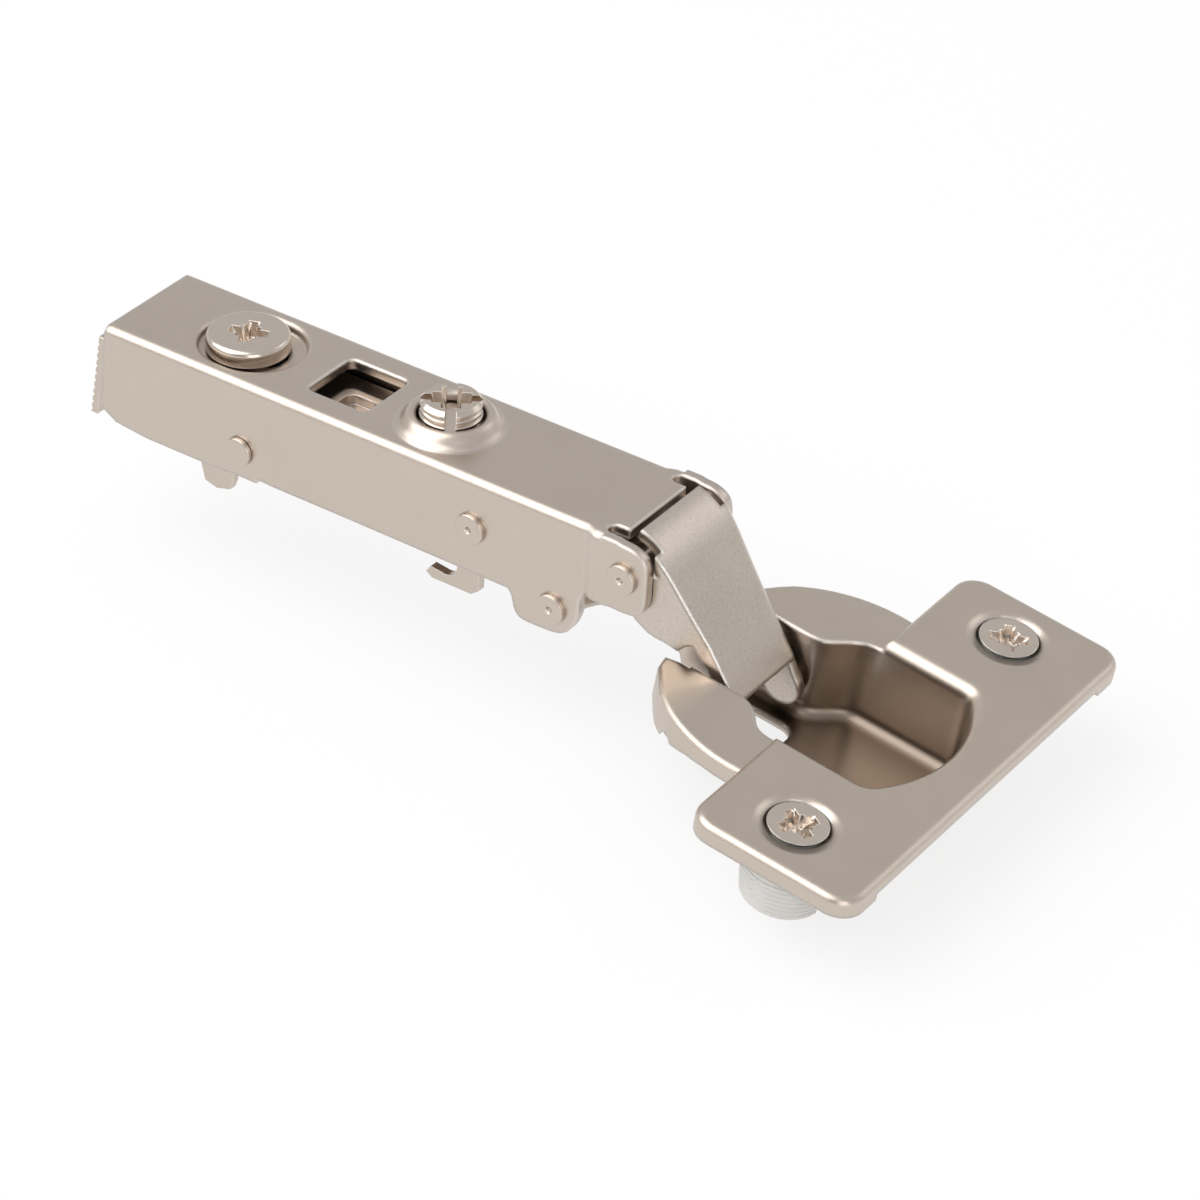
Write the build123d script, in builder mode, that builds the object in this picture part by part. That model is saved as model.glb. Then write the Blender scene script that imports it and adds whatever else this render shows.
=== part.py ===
from build123d import *
from math import asin, cos, degrees, radians, sin
import os

os.makedirs("parts", exist_ok=True)

# Frame: the origin is on the axis of the front hook's mouth at mid-width, +X points to the door and +Z up.
# Sizes along the arm are measured from its rear end and heights from the rails that rest on the mounting plate.

# Fits
pin_fit = 0.02
running_fit = 0.06
face_gap = 0.1
side_gap = 0.2
adjust_gap = 0.35

# Front hook's mouth, the origin of the frame
hook_x = 45.3
hook_z = -2.1
hook_r = 1.65

# Arm channel
arm_top = 12.0
arm_half = 7.7
arm_sheet = 1.2
arm_bend = 1.0
cheek_step = 0.5
arm_inner = arm_half - arm_sheet
cheek_outer = arm_half + cheek_step
cheek_inner = cheek_outer - arm_sheet
joggle_start = 65.2
joggle_end = 66.4
ear_start = 67.5
tongue_end = 69.25
tongue_half = cheek_inner - 1.7
notch_start = 67.1

# Arm pivots, X and Z
rear_pin_x = 19.2
rear_pin_z = 3.3
spring_pin_x = 50.5
spring_pin_z = 5.8
outer_pivot_x = 70.4
outer_pivot_z = 7.8
inner_pivot_x = 61.3
inner_pivot_z = 0.0
rear_pin_r = 1.2
spring_pin_r = 1.3
link_pin_r = 1.25
rear_head_r = 1.7
spring_head_r = 1.85
link_head_r = 1.8
head_rise = 0.6
head_edge = 0.18
dimple_r = 0.45

# Nested channels under the arm
plate_sheet = 1.1
plate_outer = arm_inner - 0.3
plate_inner = plate_outer - plate_sheet
plate_top = 8.65
base_outer = plate_inner - side_gap
base_sheet = 1.1
base_inner = base_outer - base_sheet
base_top = plate_top - plate_sheet - face_gap
slide_back = 1.6
slide_front = 0.4

# Clamping screw and its dish
clamp_x = 14.4
clamp_head_r = 4.75
clamp_head_top = 13.2
clamp_head_bottom = 11.25
clamp_neck_r = 3.0
clamp_shank_r = 2.4
dish_r = 5.6
dish_run = 1.2
dish_floor = 10.95
dish_sheet = 1.1
nut_top = base_top - base_sheet - face_gap
nut_bottom = 4.7

# Side adjusting screw and its collar
side_x = 42.1
side_crest_r = 3.5
side_root_r = 3.1
side_top = 15.3
side_pitch = 0.8
side_thread_bottom = 9.6
side_neck_r = 1.7
side_foot_r = 2.9
side_foot_top = plate_top - plate_sheet - face_gap
side_foot_sheet = 1.0
collar_hole_r = side_crest_r + adjust_gap
collar_base_r = 6.1
collar_rise = 1.6

# Window in the arm's top
window_rear = 25.5
window_front = 33.6
window_half = 4.1

# Catch at the rear
catch_pivot_x = 9.0
catch_pivot_z = 4.6
catch_pin_r = 1.0
catch_outer = arm_inner - 0.35
catch_sheet = 1.0
catch_inner = catch_outer - catch_sheet

# Links
link_sheet = 1.2
outer_link_wide = cheek_inner - face_gap
outer_link_narrow = outer_link_wide - 0.85
inner_link_half = arm_half - 3.2
inner_link_sheet = 1.1
cup_eye_r = 2.3
arm_eye_r = 2.6
slot_half = 1.35
slot_run = 1.55
tongue_wide = outer_link_wide - 1.4
tongue_root = 73.5

# Cup and flange, in the flange's own frame
cup_tilt = 8.2
flange_x = 101.35
flange_z = -2.56
screw_spacing = 42.0
cup_centre = -11.0
cup_r = 17.3
cup_depth = 12.4
cup_wall = 0.9
flange_half = 28.0
neck_half = 7.75
flange_front = 11.0
flange_rear = -9.3
flange_sheet = 1.0
flange_drop = 2.3
skirt_drop = 1.4
rim_bend = 1.5
neck_bend = 0.8
ear_top = -1.25
outer_cup_x = -17.5
outer_cup_z = -7.7
inner_cup_x = -20.0
inner_cup_z = -5.173
stub_inner = outer_link_narrow - 0.8
cup_pin_r = 1.0
wall_outer = neck_half + 0.55

# Door fixings
dowel_r = 5.0
dowel_bottom = -9.2
cup_screw_head_r = 3.3
cup_screw_r = 1.75
cup_screw_bore_r = 2.3
countersink_r = 3.7

tilt = radians(cup_tilt)
level_plane = Plane(origin=(-hook_x, 0, -hook_z))
side_plane = Plane(origin=(-hook_x, 0, -hook_z), x_dir=(1, 0, 0), z_dir=(0, -1, 0))
cup_plane = Plane(
    origin=(flange_x - hook_x, 0, flange_z - hook_z),
    x_dir=(cos(tilt), 0, -sin(tilt)),
    z_dir=(sin(tilt), 0, cos(tilt)),
)
cup_side_plane = Plane(origin=cup_plane.origin, x_dir=cup_plane.x_dir, z_dir=(0, -1, 0))
cup_axis = Axis(cup_plane.origin, cup_plane.z_dir)
side_screw_axis = Axis((side_x - hook_x, 0, 0), (0, 0, 1))


def from_flange(x, z):
    """Length along the arm and height of a point given in the flange's frame."""
    return flange_x + x * cos(tilt) + z * sin(tilt), flange_z - x * sin(tilt) + z * cos(tilt)


outer_end_x, outer_end_z = from_flange(outer_cup_x, outer_cup_z)
inner_end_x, inner_end_z = from_flange(inner_cup_x, inner_cup_z)

# Hinge arm

arm_side = [
    (69.4, arm_top),
    (0.15, arm_top),
    (-0.5, 1.4),
    (1.6, 0.15),
    (6.0, -0.3),
    (14.0, -0.3),
    (18.0, -0.1),
    (21.5, -0.1),
    (21.6, 0.4),
    (55.5, 0.2),
]
lobe_side = [
    (55.5, 0.2),
    (56.0, -0.4),
    (56.4, -1.8),
    (57.1, -2.8),
    (58.0, -3.05),
    (59.6, -3.05),
    (61.3, -3.0),
    (62.6, -2.7),
    (63.6, -2.0),
    (64.3, -0.8),
    (64.75, 0.9),
    (64.8, 2.2),
    (65.3, 3.3),
    (66.4, 3.55),
    (68.6, 3.6),
]
nose_side = [
    (68.6, 3.6),
    (70.1, 3.6),
    (71.6, 3.65),
    (72.5, 3.95),
    (73.1, 4.6),
    (73.4, 5.7),
    (73.45, 7.4),
    (73.45, 9.0),
    (73.3, 10.1),
    (72.95, 10.85),
    (72.3, 11.35),
    (71.4, 11.7),
    (70.5, 11.8),
    (69.4, arm_top),
]

with BuildPart() as hinge_arm:
    with BuildSketch(level_plane.offset(-5)):
        with BuildLine():
            Polyline(
                (-2, -arm_half),
                (joggle_start, -arm_half),
                (joggle_end, -cheek_outer),
                (80, -cheek_outer),
                (80, cheek_outer),
                (joggle_end, cheek_outer),
                (joggle_start, arm_half),
                (-2, arm_half),
                close=True,
            )
        make_face()
    extrude(amount=arm_top + 5)
    top_edges = hinge_arm.edges().group_by(Axis.Z)[-1]
    fillet(top_edges.filter_by(lambda e: abs(e.center().Y) > arm_inner), radius=arm_bend)
    with BuildSketch(side_plane):
        with BuildLine():
            Polyline(*arm_side)
            Spline(*lobe_side)
            Spline(*nose_side)
        make_face()
    extrude(amount=cheek_outer + 1, both=True, mode=Mode.INTERSECT)
    # Flat ears at the nose
    for side in (-1, 1):
        with BuildSketch(side_plane.offset(side * cheek_inner)):
            with BuildLine():
                Polyline((69.4, arm_top), (ear_start, arm_top), (ear_start, 3.58), (68.6, 3.6))
                Spline(*nose_side)
            make_face()
        extrude(amount=side * arm_sheet)
    with BuildSketch(level_plane.offset(-5)):
        with BuildLine():
            Polyline(
                (-2, -arm_inner),
                (joggle_start, -arm_inner),
                (joggle_end, -cheek_inner),
                (80, -cheek_inner),
                (80, cheek_inner),
                (joggle_end, cheek_inner),
                (joggle_start, arm_inner),
                (-2, arm_inner),
                close=True,
            )
        make_face()
    extrude(amount=arm_top - arm_sheet + 5, mode=Mode.SUBTRACT)
    # Relief notches beside the tongue
    with BuildSketch(level_plane.offset(arm_top + 1)):
        with Locations(((tongue_end + 80) / 2, 0)):
            Rectangle(80 - tongue_end, 2 * cheek_inner)
        for side in (-1, 1):
            with BuildLine():
                Polyline(
                    (notch_start + 0.85, side * tongue_half),
                    (80, side * tongue_half),
                    (80, side * cheek_inner),
                    (notch_start + 0.85, side * cheek_inner),
                    close=True,
                )
            make_face()
            with Locations((notch_start + 0.85, side * (tongue_half + cheek_inner) / 2)):
                Circle((cheek_inner - tongue_half) / 2)
    extrude(amount=-4, mode=Mode.SUBTRACT)
    # Drawn dish under the clamping screw
    with BuildSketch(level_plane.offset(dish_floor - dish_sheet)):
        with Locations((clamp_x + dish_run / 2, 0)):
            SlotCenterToCenter(dish_run, 2 * (dish_r + 0.7))
    extrude(amount=arm_top - arm_sheet - dish_floor + dish_sheet)
    with BuildSketch(level_plane.offset(dish_floor)):
        with Locations((clamp_x + dish_run / 2, 0)):
            SlotCenterToCenter(dish_run, 2 * dish_r)
    extrude(amount=5, mode=Mode.SUBTRACT)
    dish_edges = hinge_arm.edges().filter_by(lambda e: abs(e.center().X + hook_x - clamp_x - dish_run / 2) < dish_r)
    dish_rim = dish_edges.filter_by(lambda e: abs(e.center().Z - arm_top + hook_z) < 0.01)
    fillet(dish_rim.filter_by(lambda e: abs(e.center().Y) < arm_half - 1), radius=0.6)
    with BuildSketch(level_plane.offset(dish_floor - 3)):
        with Locations((clamp_x + (slide_back - slide_front) / 2, 0)):
            SlotCenterToCenter(slide_back + slide_front, 2 * (clamp_neck_r + adjust_gap))
    extrude(amount=5, mode=Mode.SUBTRACT)
    # Window
    with BuildSketch(level_plane.offset(arm_top + 1)):
        with Locations(((window_rear + window_front) / 2, 0)):
            RectangleRounded(window_front - window_rear, 2 * window_half, 0.9)
    extrude(amount=-4, mode=Mode.SUBTRACT)
    # Domed collar round the side adjusting screw
    with BuildSketch(side_plane):
        with BuildLine():
            Polyline(
                (side_x, arm_top - 0.6),
                (side_x + collar_base_r, arm_top - 0.6),
                (side_x + collar_base_r, arm_top + 0.1),
            )
            Spline(
                (side_x + collar_base_r, arm_top + 0.1),
                (side_x + collar_base_r - 0.9, arm_top + 0.95),
                (side_x + collar_base_r - 1.8, arm_top + collar_rise),
                (side_x + collar_hole_r, arm_top + collar_rise - 0.25),
                tangents=[(-1, 0.3), (-1, -0.5)],
            )
            Polyline(
                (side_x + collar_hole_r, arm_top + collar_rise - 0.25),
                (side_x, arm_top + collar_rise - 0.25),
                (side_x, arm_top - 0.6),
            )
        make_face()
    revolve(axis=side_screw_axis)
    with BuildSketch(level_plane.offset(arm_top + 5)):
        with Locations((side_x, 0)):
            Circle(collar_hole_r)
    extrude(amount=-8, mode=Mode.SUBTRACT)
    # Pin holes
    with BuildSketch(side_plane):
        with Locations((rear_pin_x, rear_pin_z)):
            Circle(rear_pin_r + running_fit)
        with Locations((spring_pin_x, spring_pin_z)):
            Circle(spring_pin_r + pin_fit)
        with Locations((outer_pivot_x, outer_pivot_z), (inner_pivot_x, inner_pivot_z)):
            Circle(link_pin_r + pin_fit)
    extrude(amount=20, both=True, mode=Mode.SUBTRACT)

hinge_arm.part.label = "hinge_arm"
export_step(hinge_arm.part, "parts/hinge_arm.step")

# Pins riveted across the arm

with BuildPart() as rear_pin:
    with BuildSketch(side_plane):
        with Locations((rear_pin_x, rear_pin_z)):
            Circle(rear_pin_r)
    extrude(amount=arm_half + head_rise, both=True)
    for side in (-1, 1):
        with BuildSketch(side_plane.offset(side * (arm_half + face_gap / 2))):
            with Locations((rear_pin_x, rear_pin_z)):
                Circle(rear_head_r)
        extrude(amount=side * (head_rise - face_gap / 2))
    rims = rear_pin.edges().filter_by(GeomType.CIRCLE).group_by(Axis.Y)
    fillet([rims[0], rims[-1]], radius=head_edge)

rear_pin.part.label = "rear_pin"
export_step(rear_pin.part, "parts/rear_pin.step")

with BuildPart() as spring_pin:
    with BuildSketch(side_plane):
        with Locations((spring_pin_x, spring_pin_z)):
            Circle(spring_pin_r)
    extrude(amount=arm_half + head_rise, both=True)
    for side in (-1, 1):
        with BuildSketch(side_plane.offset(side * arm_half)):
            with Locations((spring_pin_x, spring_pin_z)):
                Circle(spring_head_r)
        extrude(amount=side * head_rise)
    rims = spring_pin.edges().filter_by(GeomType.CIRCLE).group_by(Axis.Y)
    fillet([rims[0], rims[-1]], radius=head_edge)
    for side in (-1, 1):
        with BuildSketch(side_plane.offset(side * (arm_half + head_rise))):
            with Locations((spring_pin_x, spring_pin_z)):
                Circle(dimple_r)
        extrude(amount=-side * 0.4, taper=35, mode=Mode.SUBTRACT)

spring_pin.part.label = "spring_pin"
export_step(spring_pin.part, "parts/spring_pin.step")

with BuildPart() as inner_link_pin:
    with BuildSketch(side_plane):
        with Locations((inner_pivot_x, inner_pivot_z)):
            Circle(link_pin_r)
    extrude(amount=arm_half + head_rise, both=True)
    for side in (-1, 1):
        with BuildSketch(side_plane.offset(side * arm_half)):
            with Locations((inner_pivot_x, inner_pivot_z)):
                Circle(link_head_r)
        extrude(amount=side * head_rise)
    rims = inner_link_pin.edges().filter_by(GeomType.CIRCLE).group_by(Axis.Y)
    fillet([rims[0], rims[-1]], radius=head_edge)
    for side in (-1, 1):
        with BuildSketch(side_plane.offset(side * (arm_half + head_rise))):
            with Locations((inner_pivot_x, inner_pivot_z)):
                Circle(dimple_r)
        extrude(amount=-side * 0.4, taper=35, mode=Mode.SUBTRACT)

inner_link_pin.part.label = "inner_link_pin"
export_step(inner_link_pin.part, "parts/inner_link_pin.step")

with BuildPart() as outer_link_pin:
    with BuildSketch(side_plane):
        with Locations((outer_pivot_x, outer_pivot_z)):
            Circle(link_pin_r)
    extrude(amount=cheek_outer + head_rise, both=True)
    for side in (-1, 1):
        with BuildSketch(side_plane.offset(side * cheek_outer)):
            with Locations((outer_pivot_x, outer_pivot_z)):
                Circle(link_head_r)
        extrude(amount=side * head_rise)
    rims = outer_link_pin.edges().filter_by(GeomType.CIRCLE).group_by(Axis.Y)
    fillet([rims[0], rims[-1]], radius=head_edge)
    for side in (-1, 1):
        with BuildSketch(side_plane.offset(side * (cheek_outer + head_rise))):
            with Locations((outer_pivot_x, outer_pivot_z)):
                Circle(dimple_r)
        extrude(amount=-side * 0.4, taper=35, mode=Mode.SUBTRACT)

outer_link_pin.part.label = "outer_link_pin"
export_step(outer_link_pin.part, "parts/outer_link_pin.step")

# Slide plate, the saddle between the arm and the clip base

plate_side = [
    (17.0, plate_top),
    (17.0, 2.4),
    (18.0, 1.2),
    (20.2, 1.2),
    (22.0, -0.9),
    (44.0, -0.9),
    (46.0, 1.2),
    (46.0, plate_top),
]

with BuildPart() as slide_plate:
    with BuildSketch(side_plane):
        with BuildLine():
            Polyline(*plate_side, close=True)
        make_face()
    extrude(amount=plate_outer, both=True)
    with BuildSketch(level_plane.offset(plate_top)):
        with Locations((12.5, 0)):
            Rectangle(9.4, 2 * plate_outer)
    extrude(amount=-plate_sheet)
    corner_edges = slide_plate.edges().filter_by(lambda e: abs(e.center().Z - plate_top + hook_z) < 0.01 and e.length > 20)
    fillet(corner_edges, radius=0.8)
    with BuildSketch(level_plane.offset(-5)):
        with Locations((32, 0)):
            Rectangle(60, 2 * plate_inner)
    extrude(amount=plate_top - plate_sheet + 5, mode=Mode.SUBTRACT)
    # Raised tub seen through the arm's window
    with BuildSketch(level_plane.offset(plate_top)):
        with Locations((29.5, 0)):
            RectangleRounded(7.0, 6.0, 1.6)
    extrude(amount=0.8)
    tub_rim = slide_plate.edges().group_by(Axis.Z)[-1]
    fillet(tub_rim, radius=0.5)
    with BuildSketch(level_plane.offset(plate_top + 1)):
        with Locations((29.5, 0)):
            RectangleRounded(4.2, 3.2, 1.2)
    extrude(amount=-1.4, mode=Mode.SUBTRACT)
    # Slot for the clamping screw and keyhole for the side screw's foot
    with BuildSketch(level_plane.offset(plate_top + 1)):
        with Locations((clamp_x + (slide_back - slide_front) / 2, 0)):
            SlotCenterToCenter(slide_back + slide_front, 2 * (clamp_shank_r + adjust_gap))
        with Locations((side_x, 0)):
            Circle(side_neck_r + side_gap)
        with Locations((side_x + 2.5, 0)):
            Rectangle(5.0, 2 * (side_neck_r + side_gap))
    extrude(amount=-3, mode=Mode.SUBTRACT)
    with BuildSketch(side_plane):
        with Locations((rear_pin_x, rear_pin_z)):
            Circle(rear_pin_r + pin_fit)
    extrude(amount=20, both=True, mode=Mode.SUBTRACT)

slide_plate.part.label = "slide_plate"
export_step(slide_plate.part, "parts/slide_plate.step")

# Clip base with its front hooks

base_side = [
    (4.5, base_top),
    (4.5, 3.0),
    (6.5, 0.0),
    (42.2, 0.0),
    (43.4, hook_z + hook_r),
    (hook_x, hook_z + hook_r),
    (hook_x, hook_z - hook_r),
    (43.4, -3.5),
    (42.8, -4.3),
    (43.6, -4.9),
    (48.8, -4.9),
    (49.8, -4.2),
    (49.9, -1.0),
    (48.2, 2.4),
    (46.2, 4.4),
    (46.2, base_top),
]

with BuildPart() as clip_base:
    with BuildSketch(side_plane):
        with BuildLine():
            Polyline(*base_side, close=True)
        make_face()
    extrude(amount=base_outer, both=True)
    corner_edges = clip_base.edges().filter_by(lambda e: abs(e.center().Z - base_top + hook_z) < 0.01 and e.length > 20)
    fillet(corner_edges, radius=0.8)
    with BuildSketch(level_plane.offset(-8)):
        with Locations((28, 0)):
            Rectangle(60, 2 * base_inner)
    extrude(amount=base_top - base_sheet + 8, mode=Mode.SUBTRACT)
    # Opening under the side screw's foot and the clamping screw's hole
    with BuildSketch(level_plane.offset(base_top + 1)):
        with Locations((side_x - 0.6, 0)):
            SlotCenterToCenter(slide_back + slide_front + 1, 2 * (side_foot_r + 2 * side_gap))
        with Locations((clamp_x, 0)):
            Circle(clamp_shank_r + running_fit)
        with Locations((27.5, 0)):
            RectangleRounded(9.0, 4.6, 1.0)
    extrude(amount=-3, mode=Mode.SUBTRACT)
    # Guide slots for the rear pin and holes for the catch pin
    with BuildSketch(side_plane):
        with Locations((rear_pin_x - (slide_back - slide_front) / 2, rear_pin_z)):
            SlotCenterToCenter(slide_back + slide_front, 2 * (rear_pin_r + running_fit))
        with Locations((catch_pivot_x, catch_pivot_z)):
            Circle(catch_pin_r + pin_fit)
        with Locations((hook_x, hook_z)):
            Circle(hook_r)
    extrude(amount=20, both=True, mode=Mode.SUBTRACT)

clip_base.part.label = "clip_base"
export_step(clip_base.part, "parts/clip_base.step")

# Catch lever with its serrated plate

catch_side = [
    (-1.0, 9.2),
    (-1.9, 9.3),
    (-3.25, -1.0),
    (-2.35, -1.05),
    (-1.9, 2.2),
    (5.5, 2.0),
    (9.5, 0.4),
    (12.6, -0.4),
    (12.6, -1.8),
    (13.1, -3.7),
    (14.7, -4.15),
    (16.6, -3.65),
    (17.0, -2.6),
    (17.1, -1.0),
    (16.2, 0.3),
    (13.0, 2.6),
    (11.0, 5.2),
    (9.8, 6.2),
    (8.2, 6.2),
    (6.4, 5.2),
    (-1.45, 5.6),
]

with BuildPart() as catch_lever:
    with BuildSketch(side_plane):
        with BuildLine():
            Polyline(*catch_side, close=True)
        make_face()
    extrude(amount=catch_outer, both=True)
    with BuildSketch(side_plane):
        with BuildLine():
            Polyline((-2.35, -1.05), (-1.0, 9.2), (20, 9.2), (20, -6), (-2.35, -6), close=True)
        make_face()
    extrude(amount=catch_inner, both=True, mode=Mode.SUBTRACT)
    with BuildSketch(side_plane):
        with Locations((catch_pivot_x, catch_pivot_z)):
            Circle(catch_pin_r + running_fit)
    extrude(amount=20, both=True, mode=Mode.SUBTRACT)
    # Finger serrations
    for step in range(10):
        with BuildSketch(side_plane):
            with Locations((-3.22 + 0.1285 * step, -0.6 + 0.98 * step)):
                Circle(0.22)
        extrude(amount=catch_outer, both=True, mode=Mode.SUBTRACT)

catch_lever.part.label = "catch_lever"
export_step(catch_lever.part, "parts/catch_lever.step")

with BuildPart() as catch_pin:
    with BuildSketch(side_plane):
        with Locations((catch_pivot_x, catch_pivot_z)):
            Circle(catch_pin_r)
    extrude(amount=catch_outer, both=True)

catch_pin.part.label = "catch_pin"
export_step(catch_pin.part, "parts/catch_pin.step")

with BuildPart() as catch_spring:
    with BuildSketch(side_plane):
        with BuildLine():
            Polyline(
                (7.9, 6.3),
                (7.9, 6.0),
                (2.4, 4.4),
                (-1.45, 3.8),
                (-1.45, 3.5),
                (2.5, 4.05),
                (8.1, 5.7),
                (8.1, 6.3),
                close=True,
            )
        make_face()
    extrude(amount=2.4, both=True)

catch_spring.part.label = "catch_spring"
export_step(catch_spring.part, "parts/catch_spring.step")

# Clamping screw and its nut plate

with BuildPart() as clamp_screw:
    with BuildSketch(level_plane.offset(clamp_head_bottom)):
        with Locations((clamp_x, 0)):
            Circle(clamp_head_r)
    extrude(amount=clamp_head_top - clamp_head_bottom)
    fillet(clamp_screw.edges().filter_by(GeomType.CIRCLE).group_by(Axis.Z)[-1], radius=0.65)
    with BuildSketch(level_plane.offset(plate_top + face_gap / 2)):
        with Locations((clamp_x, 0)):
            Circle(clamp_neck_r)
    extrude(amount=clamp_head_bottom - plate_top)
    with BuildSketch(level_plane.offset(nut_bottom)):
        with Locations((clamp_x, 0)):
            Circle(clamp_shank_r)
    extrude(amount=clamp_head_bottom - nut_bottom)
    # Cross recess
    with BuildSketch(level_plane.offset(clamp_head_top)):
        with Locations((clamp_x, 0)):
            Rectangle(4.5, 1.4, rotation=20)
            Rectangle(4.5, 1.4, rotation=110)
            Rectangle(3.2, 0.5, rotation=65)
            Rectangle(3.2, 0.5, rotation=155)
            Circle(1.3)
    extrude(amount=-1.8, taper=14, mode=Mode.SUBTRACT)

clamp_screw.part.label = "clamp_screw"
export_step(clamp_screw.part, "parts/clamp_screw.step")

with BuildPart() as clamp_nut:
    with BuildSketch(level_plane.offset(nut_bottom)):
        with Locations((clamp_x - 0.2, 0)):
            RectangleRounded(6.8, 6.6, 0.6)
        with Locations((clamp_x, 0)):
            Circle(clamp_shank_r + pin_fit, mode=Mode.SUBTRACT)
    extrude(amount=nut_top - nut_bottom)

clamp_nut.part.label = "clamp_nut"
export_step(clamp_nut.part, "parts/clamp_nut.step")

# Side adjusting screw

with BuildPart() as side_adjusting_screw:
    with BuildSketch(level_plane.offset(side_thread_bottom)):
        with Locations((side_x, 0)):
            Circle(side_crest_r)
    extrude(amount=side_top - side_thread_bottom)
    chamfer(side_adjusting_screw.edges().filter_by(GeomType.CIRCLE).group_by(Axis.Z)[-1], length=0.45)
    with BuildSketch(side_plane):
        for turn in range(5):
            ridge = side_top - 0.85 - side_pitch * turn
            with BuildLine():
                Polyline(
                    (side_x + side_crest_r + 0.1, ridge + 0.34),
                    (side_x + side_root_r, ridge),
                    (side_x + side_crest_r + 0.1, ridge - 0.34),
                    close=True,
                )
            make_face()
    revolve(axis=side_screw_axis, mode=Mode.SUBTRACT)
    with BuildSketch(level_plane.offset(side_foot_top - side_foot_sheet)):
        with Locations((side_x, 0)):
            Circle(side_neck_r)
    extrude(amount=side_thread_bottom - side_foot_top + side_foot_sheet)
    with BuildSketch(level_plane.offset(side_foot_top)):
        with Locations((side_x, 0)):
            Circle(side_foot_r)
    extrude(amount=-side_foot_sheet)
    # Crossed slots
    with BuildSketch(level_plane.offset(side_top)):
        with Locations((side_x, 0)):
            Rectangle(9.0, 1.2, rotation=-56)
    extrude(amount=-2.9, mode=Mode.SUBTRACT)
    with BuildSketch(level_plane.offset(side_top)):
        with Locations((side_x, 0)):
            Rectangle(9.0, 1.3, rotation=34)
    extrude(amount=-1.5, mode=Mode.SUBTRACT)
    with BuildSketch(level_plane.offset(side_top)):
        with Locations((side_x, 0)):
            Rectangle(4.4, 2.2, rotation=34)
            Rectangle(4.4, 2.2, rotation=-56)
    extrude(amount=-1.9, taper=14, mode=Mode.SUBTRACT)

side_adjusting_screw.part.label = "side_adjusting_screw"
export_step(side_adjusting_screw.part, "parts/side_adjusting_screw.step")

# Outer link

link_outline = [
    (70.7, 12.65),
    (72.9, 11.6),
    (74.6, 10.1),
    (76.6, 7.4),
    (78.6, 4.5),
    (80.1, 2.4),
    (82.05, -0.5),
    (84.2, -3.9),
]
link_inside = [
    (70.25, 11.55),
    (72.2, 10.6),
    (73.65, 9.35),
    (75.6, 6.7),
    (77.6, 3.8),
    (79.1, 1.7),
    (81.05, -1.2),
    (83.2, -4.5),
]
flange_side = [
    (74.5, 9.3),
    (76.1, 7.1),
    (78.1, 4.2),
    (79.7, 1.9),
    (81.6, -0.9),
    (83.7, -4.2),
    (85.15, -7.1),
    (outer_end_x, outer_end_z),
    (82.5, -5.45),
    (81.7, -3.45),
    (80.47, -1.55),
    (78.4, 1.5),
    (77.6, 1.2),
    (76.7, 0.3),
    (75.4, 0.8),
    (73.0, 1.4),
    (71.4, 2.4),
    (69.6, 4.2),
    (68.2, 6.4),
    (67.9, 8.4),
    (70.0, 10.35),
    (72.0, 9.6),
    (73.2, 8.7),
    (73.9, 8.5),
]

with BuildPart() as link_web:
    with BuildSketch(side_plane):
        with BuildLine():
            Spline(*link_outline)
            Line(link_outline[-1], link_inside[-1])
            Spline(*reversed(link_inside))
            Line(link_inside[0], link_outline[0])
        make_face()
    extrude(amount=outer_link_wide, both=True)
    # Tongue between the ears of the arm
    with BuildSketch(level_plane.offset(-15)):
        for side in (-1, 1):
            with Locations(((60 + tongue_root) / 2, side * (tongue_wide + 2))):
                Rectangle(tongue_root - 60, 4)
    extrude(amount=40, mode=Mode.SUBTRACT)

with BuildPart() as outer_link:
    with BuildSketch(side_plane):
        with BuildLine():
            Polyline(*flange_side, close=True)
        make_face()
        with Locations((outer_pivot_x, outer_pivot_z)):
            Circle(arm_eye_r)
        with Locations((outer_end_x, outer_end_z)):
            Circle(cup_eye_r)
    extrude(amount=outer_link_wide, both=True)
    with BuildSketch(level_plane.offset(-15)):
        with BuildLine():
            Polyline(
                (60, -outer_link_wide + link_sheet),
                (74.0, -outer_link_wide + link_sheet),
                (80.1, -outer_link_narrow + link_sheet),
                (95, -outer_link_narrow + link_sheet),
                (95, outer_link_narrow - link_sheet),
                (80.1, outer_link_narrow - link_sheet),
                (74.0, outer_link_wide - link_sheet),
                (60, outer_link_wide - link_sheet),
                close=True,
            )
        make_face()
    extrude(amount=40, mode=Mode.SUBTRACT)
    add(link_web.part)
    with BuildSketch(level_plane.offset(-15)):
        with BuildLine():
            Polyline(
                (60, -outer_link_wide),
                (74.0, -outer_link_wide),
                (80.1, -outer_link_narrow),
                (95, -outer_link_narrow),
                (95, outer_link_narrow),
                (80.1, outer_link_narrow),
                (74.0, outer_link_wide),
                (60, outer_link_wide),
                close=True,
            )
        make_face()
    extrude(amount=40, mode=Mode.INTERSECT)
    crest = outer_link.faces().filter_by(GeomType.PLANE, reverse=True).sort_by(SortBy.AREA)[-2:].sort_by(Axis.Z)[-1]
    bends = crest.edges().filter_by(lambda e: abs(e.center().Y) > tongue_wide + 0.3 and e.length > 2)
    fillet(bends, radius=link_sheet - 0.1)
    with BuildSketch(side_plane):
        with Locations((outer_pivot_x, outer_pivot_z)):
            Circle(link_pin_r + running_fit)
    extrude(amount=20, both=True, mode=Mode.SUBTRACT)
    # Blind seats for the cup's pivot studs
    for side in (-1, 1):
        with BuildSketch(side_plane.offset(side * (stub_inner - running_fit))):
            with Locations((outer_end_x, outer_end_z)):
                Circle(link_pin_r + running_fit)
        extrude(amount=side * 5, mode=Mode.SUBTRACT)

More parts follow.
